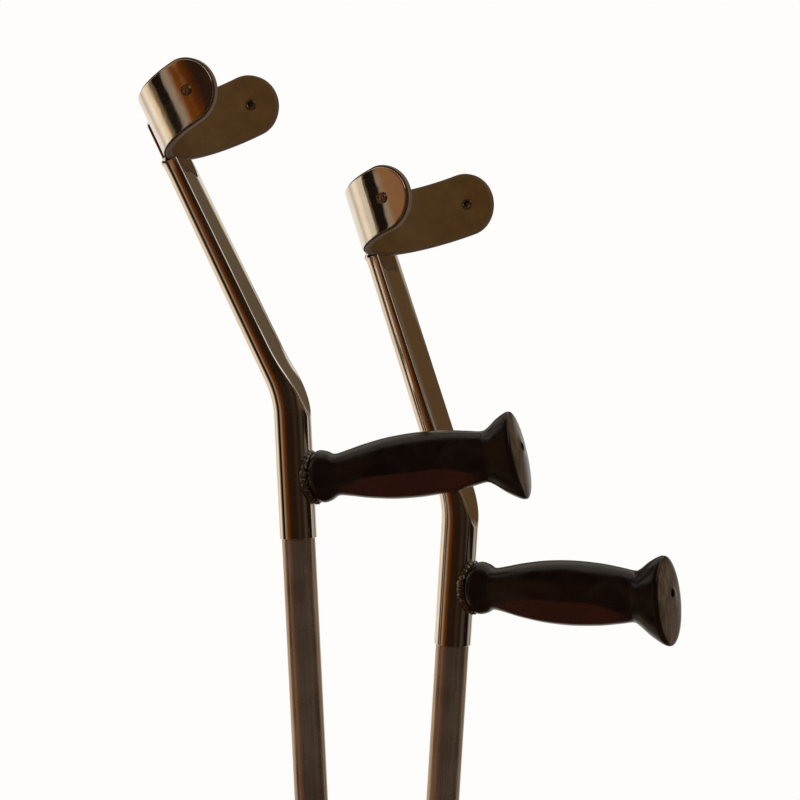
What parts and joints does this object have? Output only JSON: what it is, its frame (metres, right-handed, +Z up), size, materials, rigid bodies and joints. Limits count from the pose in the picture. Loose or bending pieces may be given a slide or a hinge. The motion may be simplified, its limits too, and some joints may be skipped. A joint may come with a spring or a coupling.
{
  "type": "pair of forearm crutches",
  "caption": "Pair of forearm crutches: bent chromed tubes with open lined cuffs, moulded handgrips, telescoping legs with snap buttons, rubber feet.",
  "frame": {"origin": "on the floor, under the middle of the pair's bounding box", "axes": "+Z up; +X to the right along the handgrips as the picture shows the pair; -Y towards the viewer"},
  "size_m": [0.3148, 0.1488, 1.0705],
  "materials": {
    "chrome_tube": "polished chrome plate",
    "chrome_cuff": "polished chrome plate",
    "welded_stub": "plated weld bead",
    "grip_moulding": "moulded",
    "cuff_lining": "fine grain",
    "rivets": "plated steel",
    "anodised_leg": "satin anodised",
    "blind_rivet": "plain",
    "collar": "moulded",
    "extension": "satin",
    "snap_button": "polished tip",
    "leaf_spring": "spring strip",
    "ferrule": "moulded rubber",
    "washer": "zinc plated"
  },
  "bodies": {
    "crutch_a": {"upper_tube_a": "chrome_tube", "forearm_cuff_a": "chrome_cuff", "cuff_lining_a": "cuff_lining", "ear_rivet_near_a": "rivets", "ear_rivet_far_a": "rivets", "cuff_rivet_low_a": "rivets", "cuff_rivet_top_a": "rivets", "grip_stub_a": "welded_stub", "handgrip_a": "grip_moulding", "leg_tube_a": "anodised_leg", "sleeve_rivet_a": "blind_rivet", "end_collar_a": "collar"},
    "extension_a": {"extension_tube_a": "extension", "button_spring_a": "leaf_spring", "ferrule_a": "ferrule", "ferrule_washer_a": "washer"},
    "button_a": {"snap_button_a": "snap_button"},
    "crutch_b": {"upper_tube_b": "chrome_tube", "forearm_cuff_b": "chrome_cuff", "cuff_lining_b": "cuff_lining", "ear_rivet_near_b": "rivets", "ear_rivet_far_b": "rivets", "cuff_rivet_low_b": "rivets", "cuff_rivet_top_b": "rivets", "grip_stub_b": "welded_stub", "handgrip_b": "grip_moulding", "leg_tube_b": "anodised_leg", "sleeve_rivet_b": "blind_rivet", "end_collar_b": "collar"},
    "extension_b": {"extension_tube_b": "extension", "button_spring_b": "leaf_spring", "ferrule_b": "ferrule", "ferrule_washer_b": "washer"},
    "button_b": {"snap_button_b": "snap_button"}
  },
  "joints": [
    {"name": "leg_length_a", "type": "slide", "parent": "crutch_a", "child": "extension_a", "axis": [0.0469, -0.0244, -0.9986], "range_m": [-0.129, 0.129]},
    {"name": "button_press_a", "type": "slide", "parent": "extension_a", "child": "button_a", "axis": [0.9513, -0.3039, 0.0521], "range_m": [0, 0.004], "stiffness_N_per_m": 1500, "springref_m": -0.002, "deforming": ["button_spring_a"]},
    {"name": "leg_length_b", "type": "slide", "parent": "crutch_b", "child": "extension_b", "axis": [-0.0588, 0.0248, -0.998], "range_m": [-0.0645, 0.1935]},
    {"name": "button_press_b", "type": "slide", "parent": "extension_b", "child": "button_b", "axis": [0.8567, -0.5119, -0.0632], "range_m": [0, 0.004], "stiffness_N_per_m": 1500, "springref_m": -0.002, "deforming": ["button_spring_b"]},
    {"name": "crutch_b_apart", "type": "slide", "parent": "crutch_a", "child": "crutch_b", "axis": [1, 0, 0], "range_m": [0, 0.25]}
  ]
}
